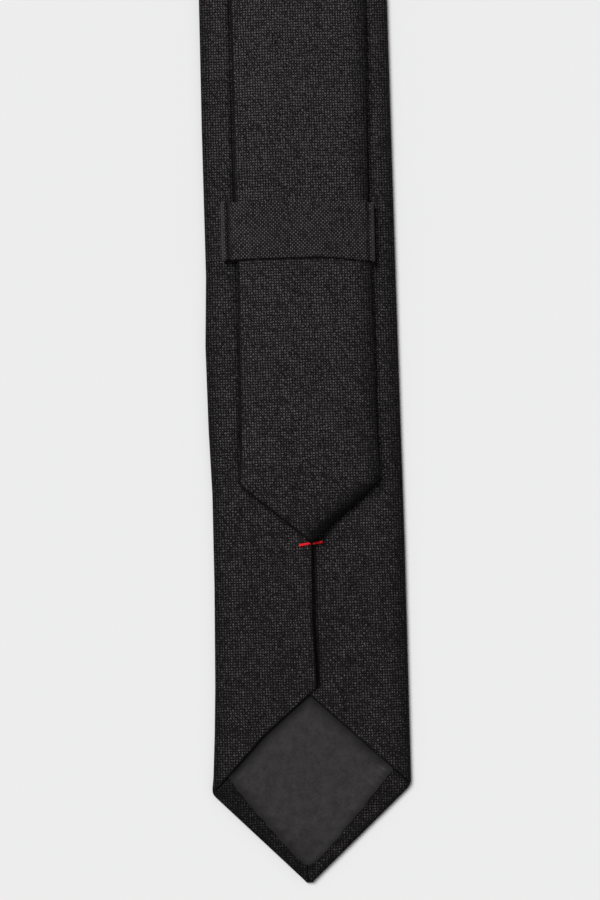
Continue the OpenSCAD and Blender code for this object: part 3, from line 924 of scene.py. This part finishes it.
def wool():
    """Off-white wool interlining: a coarse open weave with hairs."""
    sizes = cloth_sizes()
    finish = Finish("wool canvas")
    across, along, layer = finish.cloth()
    yarn_pitch = 0.9
    height, _, shade = weave(finish, across, along, layer, yarn_pitch, False)
    # low places of the weave painted darker as painted shade, times a random yarn tone
    share = finish.ramp(height, 0.1, 0.9) * finish.ramp(shade, 0.2, 0.8, 0.6, 1.0)
    tone = finish.between(share, rgba(sizes.wool, 0.45), rgba(sizes.wool))
    finish.bump(height + finish.noise(across, along, layer, 4.0, 3.0, 0.7) * 0.5, 0.0002, 0.8)
    return finish.surface(Base_Color=tone, Roughness=0.95, Specular_IOR_Level=0.1, Sheen_Weight=0.1)


def spun(name, tone, roughness):
    """Sewing thread: fine fibres that run slantwise round it, with a painted highlight where they stand
    proud.
    """
    finish = Finish(name)
    along, round_it, layer = finish.cloth()
    fibre = finish.maths("SINE", along * 16.0 + round_it * 18.0)
    grain = finish.noise(along, round_it, layer, 6.0, 2.0, 0.6)
    share = finish.ramp(fibre * 0.5 + grain, 0.1, 0.9)
    mixed = finish.between(share, rgba(tone, 0.72), rgba(tone, 1.0))
    finish.bump(fibre * 0.5 + grain, 0.00003, 0.7)
    return finish.surface(
        Base_Color=mixed, Roughness=roughness, Specular_IOR_Level=0.2, Sheen_Weight=0.05,
    )


def paper():
    """Plain pale floor with hardly any grain."""
    finish = Finish("plain floor")
    place = finish.node("TexCoord").outputs["Object"]
    grain = finish.node("TexNoise", Vector=place, Scale=40.0, Detail=2.0).outputs[0]
    tone = bpy.context.scene.tie_stage.floor
    mixed = finish.between(grain, rgba(tone, 0.998), rgba(tone, 1.0))
    return finish.surface(Base_Color=mixed, Roughness=0.9, Specular_IOR_Level=0.0)


# Each finish by name: its material and the name of a slot. The operator below fills it.
FINISHES = {}


# ---- making and joining the pieces


def at_v(v):
    """A place in the middle of the tie, in metres."""
    return (0.0, (v + TIP_Y) * MM, 4.0 * MM)


# Two bodies and two places along the tie, for a piece that lies between two bodies.
WITH_NECK = ("wide_blade", "neck", at_v(STILL_V), at_v(WIDE_SEAM_V - 25.0))
WITH_TAIL = ("neck", "tail", at_v(WIDE_SEAM_V), at_v(TAIL_SEAM_V + 17.0))
WITH_LIFT = ("tail", "tail_end", at_v(LIFT_V), at_v(LIFT_V - LIFT_SPREAD))


def add(name, patches, finish, follows, *nodes):
    """Makes a piece that rides on one body, or lies between two where it is made, and stands for these CAD
    nodes.
    """
    item = piece(name, patches, finish)
    if isinstance(follows, str):
        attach(item, follows)
    else:
        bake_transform(item)
    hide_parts(*nodes)
    return item


def blade_patches(tie, tip_rows, rows, lie):
    """The cloth of a blade: face of the tip, folded sleeve and both hems."""
    hems = [hem(tie, side, lie) for side in (-1, 1)]
    return [tip_face(tie, tip_rows, lie), sleeve(tie, rows, lie, (tie.end,)), *hems]


class MakeFinishes(bpy.types.Operator):
    """Make the cloth, lining, wool and thread materials."""

    bl_idname = "tie.finishes"
    bl_label = "Make finishes"

    def execute(self, context):
        sizes = cloth_sizes()
        FINISHES["bias"] = suiting("woven cloth on the bias", True), "woven_cloth"
        FINISHES["straight"] = suiting("woven cloth of the keeper", False, 0.98), "woven_cloth"
        FINISHES["satin"] = satin(), "satin_lining"
        FINISHES["wool"] = wool(), "wool_canvas"
        FINISHES["black"] = spun("black thread", sizes.thread, 0.7), "black_thread"
        FINISHES["red"] = spun("red thread", sizes.red, 0.6), "red_thread"
        return {"FINISHED"}


class MakeWideBlade(bpy.types.Operator):
    """Fold the wide blade's cloth round its core, with hems and lining at the tip."""

    bl_idname = "tie.wide_blade"
    bl_label = "Make wide blade"

    def execute(self, context):
        tip = spaced((0.0, 1.6, 0.12), (1.6, Wide.corner, 0.6))
        rows = spaced((Wide.corner, 64.0, 0.45), (64.0, 275.0, 1.0), (275.0, 738.0, 3.2),
                      (738.0, Wide.end - SEAM_GAP, 0.5))
        cloth = add("wide_cloth", blade_patches(Wide, tip, rows, flat_lie), "bias",
                    WITH_NECK, "wide_shell", "wide_upper_shell")
        rows = spaced((14.0, 34.0, 1.0), (34.0, Wide.end - 1.5, 4.0))
        canvas = add("wide_core", [core(Wide, rows, flat_lie)], "wool",
                     WITH_NECK, "wide_canvas", "wide_upper_canvas")
        puckers = (  # middle x, middle v, reach, height, width, angle
            (21.0, 32.0, 2.2, 0.5, 0.42, 2.5),
            (18.2, 29.4, 2.8, 0.32, 0.6, 2.4),
            (22.2, 33.6, 1.6, 0.4, 0.35, 2.7),
            (12.0, 22.5, 3.4, 0.16, 0.8, 2.3),
            (-21.0, 33.0, 2.4, 0.14, 0.8, 0.8),
            (-3.0, 13.5, 2.6, -0.14, 1.5, 0.6),
            (1.8, 11.8, 2.2, -0.16, 1.0, -0.5),
        )
        lining = add("wide_tip_lining", [lining_sheet(Wide, flat_lie, puckers)], "satin",
                     "wide_blade", "wide_lining")
        return {"FINISHED"}


class MakeTail(bpy.types.Operator):
    """Fold the tail's cloth round its core, seam side down, with hems and lining at the tip."""

    bl_idname = "tie.tail"
    bl_label = "Make tail"

    def execute(self, context):
        tip = spaced((Tail.tip, Tail.tip + 1.6, 0.12), (Tail.tip + 1.6, Tail.corner, 0.45))
        rows = spaced((Tail.corner, 146.0, 0.45), (146.0, 275.0, 1.0), (275.0, 530.0, 3.2),
                      (530.0, Tail.end - SEAM_GAP, 0.5))
        cloth = add("tail_cloth", blade_patches(Tail, tip, rows, tail_lie), "bias",
                    WITH_LIFT, "tail_upper_shell", "tail_shell", "tail_end_shell")
        rows = spaced((Tail.tip + 8.0, 126.0, 1.0), (126.0, Tail.end - 1.5, 4.0))
        canvas = add("tail_core", [core(Tail, rows, tail_lie)], "wool",
                     WITH_LIFT, "tail_upper_canvas", "tail_canvas", "tail_end_canvas")
        lining = add("tail_tip_lining", [lining_sheet(Tail, tail_lie, ())], "satin",
                     WITH_LIFT, "tail_end_lining")
        return {"FINISHED"}


class MakeNeck(bpy.types.Operator):
    """Carry the neck piece round the soft roll between the two seams."""

    bl_idname = "tie.neck"
    bl_label = "Make neck piece"

    def execute(self, context):
        length_mm = float(neck_path()[0][-1])
        rows = spaced((SEAM_GAP, 6.0, 0.5), (6.0, 38.0, 2.0), (38.0, 60.0, 0.6), (60.0, 104.0, 1.6),
                      (104.0, length_mm - 6.0, 3.0), (length_mm - 6.0, length_mm - SEAM_GAP, 0.5))
        cloth = add("neck_cloth", [sleeve(Neck, rows, neck_lie, (0.0, length_mm))], "bias",
                    WITH_TAIL, "neck_shell")
        rows = spaced((1.5, length_mm - 1.5, 2.0))
        canvas = add("neck_core", [core(Neck, rows, neck_lie)], "wool", WITH_TAIL, "neck_canvas")
        return {"FINISHED"}


class MakeKeeper(bpy.types.Operator):
    """Make the keeper loop and the small stitches that hold it to the flaps."""

    bl_idname = "tie.keeper"
    bl_label = "Make keeper"

    def execute(self, context):
        band = add("keeper", [keeper_patch()], "straight", "wide_blade", "keeper_loop")
        patches = []
        for x in (KEEPER[0][0] + 1.6, KEEPER[1][0] - 1.6):
            for v in (191.0, 196.5, 202.0):
                t = np.linspace(0.0, 1.0, 24)
                arch = 2.72 + 0.16 * np.sin(np.pi * t)
                line = np.stack([x + 0.5 * (t - 0.5), v + 1.8 * t, arch], axis=-1)
                patches.append(strand(line, radius=0.12))
        add("keeper_stitches", patches, "black", "wide_blade", "keeper_tacks")
        return {"FINISHED"}


class MakeThreads(bpy.types.Operator):
    """Make the bar tacks, the slip stitches under the laps and the stitches of the cross seams."""

    bl_idname = "tie.threads"
    bl_label = "Make threads"

    def execute(self, context):
        sizes = cloth_sizes()
        low = sizes.body / MM
        lap = (sizes.body + sizes.lap_rise) / MM
        add("wide_tack", bar_tack([
            ((-1.7, 102.2, lap + 0.06), (1.6, 102.66, lap + 0.06)),
            ((2.5, 102.7, low + 0.6), (5.1, 103.0, low + 0.5)),
        ], flat_lie), "red", "wide_blade", "wide_bar_tack")
        add("tail_tack", bar_tack([
            ((-1.6, 148.9, lap + 0.05), (2.05, 149.2, lap + 0.05)),
            ((2.2, 149.25, low + 0.32), (5.15, 149.5, low + 0.25)),
        ], tail_lie), "red", WITH_LIFT, "tail_bar_tack")
        neck_end = float(neck_path()[0][-1])
        for name, start, end, lie, follows, *nodes in (
            ("wide_slip_thread", 62.0, WIDE_SEAM_V - 4.0, flat_lie,
             WITH_NECK, "wide_slip_stitch", "wide_upper_slip_stitch"),
            ("tail_slip_thread", LIFT_V + 2.0, TAIL_SEAM_V - 4.0, tail_lie,
             "tail", "tail_upper_slip_stitch", "tail_slip_stitch"),
            ("neck_slip_thread", 3.0, neck_end - 3.0, neck_lie, WITH_TAIL, "neck_slip_stitch"),
        ):
            v = np.arange(start, end, 0.8)
            sway = 0.4 + 0.5 * np.sin(2 * np.pi * v / 7.0)
            stitches = running_thread(v, sway, np.full(v.size, low + 0.03), lie)
            add(name, [stitches], "black", follows, *nodes)
        for name, seam, lie, follows, node in (
            ("wide_seam_thread", WIDE_SEAM_V, flat_lie, "neck", "wide_seam_stitch"),
            ("tail_seam_thread", TAIL_SEAM_V, tail_lie, WITH_TAIL, "tail_seam_stitch"),
        ):
            x = np.linspace(-14.2, 14.2, 240)
            sway = 0.16 * np.sin(2 * np.pi * x / 2.4)
            heights = (low - 0.42 + sway, 0.36 - sway)
            threads = [running_thread(seam - x, x, h, lie) for h in heights]
            add(name, threads, "black", follows, node)
        return {"FINISHED"}


class MakeStage(bpy.types.Operator):
    """Lay the floor, hang the lights and set up the camera straight above."""

    bl_idname = "tie.stage"
    bl_label = "Make stage"

    def execute(self, context):
        stage = context.scene.tie_stage
        mesh = bpy.data.meshes.new("floor")
        span, down = 3.0, -1e-4
        corners = [(-span, -span, down), (span, -span, down), (span, span, down), (-span, span, down)]
        mesh.from_pydata(corners, [], [(0, 1, 2, 3)])
        floor = bpy.data.objects.new("floor", mesh)
        mesh.materials.append(paper())
        context.scene.collection.objects.link(floor)
        camera = bpy.data.objects.new("camera", bpy.data.cameras.new("camera"))
        camera.data.lens, camera.data.sensor_width = 100.0, 36.0
        camera.data.clip_start, camera.data.clip_end = 0.01, 20.0
        camera.location = (VIEW_MIDDLE[0] * MM, (VIEW_MIDDLE[1] + TIP_Y) * MM, stage.camera_height)
        camera.rotation_euler = (0.0, 0.0, stage.lean)
        context.scene.collection.objects.link(camera)
        context.scene.camera = camera
        lamp = bpy.data.lights.new("key", "SUN")
        lamp.energy, lamp.angle = stage.key, stage.key_spread
        key = bpy.data.objects.new("key", lamp)
        key.location = (-0.6, 0.6, 0.8)
        key.rotation_euler = Vector((0.4, -0.44, -0.86)).to_track_quat("-Z", "Y").to_euler()
        context.scene.collection.objects.link(key)
        world = bpy.data.worlds.new("even light")
        world.use_nodes = True
        light = world.node_tree.nodes["Background"].inputs
        light["Color"].default_value = (1.0, 1.0, 1.0, 1.0)
        light["Strength"].default_value = stage.sky
        context.scene.world = world
        context.scene.view_settings.view_transform = "Standard"
        return {"FINISHED"}


class TiePanel(bpy.types.Panel):
    """Sizes, colours and the buttons that make each group of pieces."""

    bl_idname = "VIEW3D_PT_necktie"
    bl_label = "Folded necktie"
    bl_space_type = "VIEW_3D"
    bl_region_type = "UI"
    bl_category = "Necktie"

    def draw(self, context):
        layout = self.layout
        for name in GROUPS:
            group = getattr(context.scene, name)
            box = layout.box()
            for key in group.bl_rna.properties.keys():
                if key not in {"rna_type", "name"}:
                    box.prop(group, key)
        for operator in OPERATORS:
            layout.operator(operator.bl_idname)


GROUPS = {
    "tie_cloth": TieClothSettings,
    "tie_tail": TieTailSettings,
    "tie_keeper": TieKeeperSettings,
    "tie_stage": TieStageSettings,
}
OPERATORS = (MakeStage, MakeFinishes, MakeWideBlade, MakeNeck, MakeTail, MakeKeeper, MakeThreads)


def register():
    """Registers the classes and adds the groups of settings to the scene."""
    for item in (*GROUPS.values(), *OPERATORS, TiePanel):
        bpy.utils.register_class(item)
    for name, group in GROUPS.items():
        setattr(bpy.types.Scene, name, PointerProperty(type=group))


def unregister():
    """Takes everything that register added away again."""
    for name in GROUPS:
        delattr(bpy.types.Scene, name)
    for item in reversed((*GROUPS.values(), *OPERATORS, TiePanel)):
        bpy.utils.unregister_class(item)


def main():
    register()
    bpy.ops.tie.stage()
    bpy.ops.tie.finishes()
    bpy.ops.tie.wide_blade()
    bpy.ops.tie.neck()
    bpy.ops.tie.tail()
    bpy.ops.tie.keeper()
    bpy.ops.tie.threads()


if __name__ == "__main__":
    main()
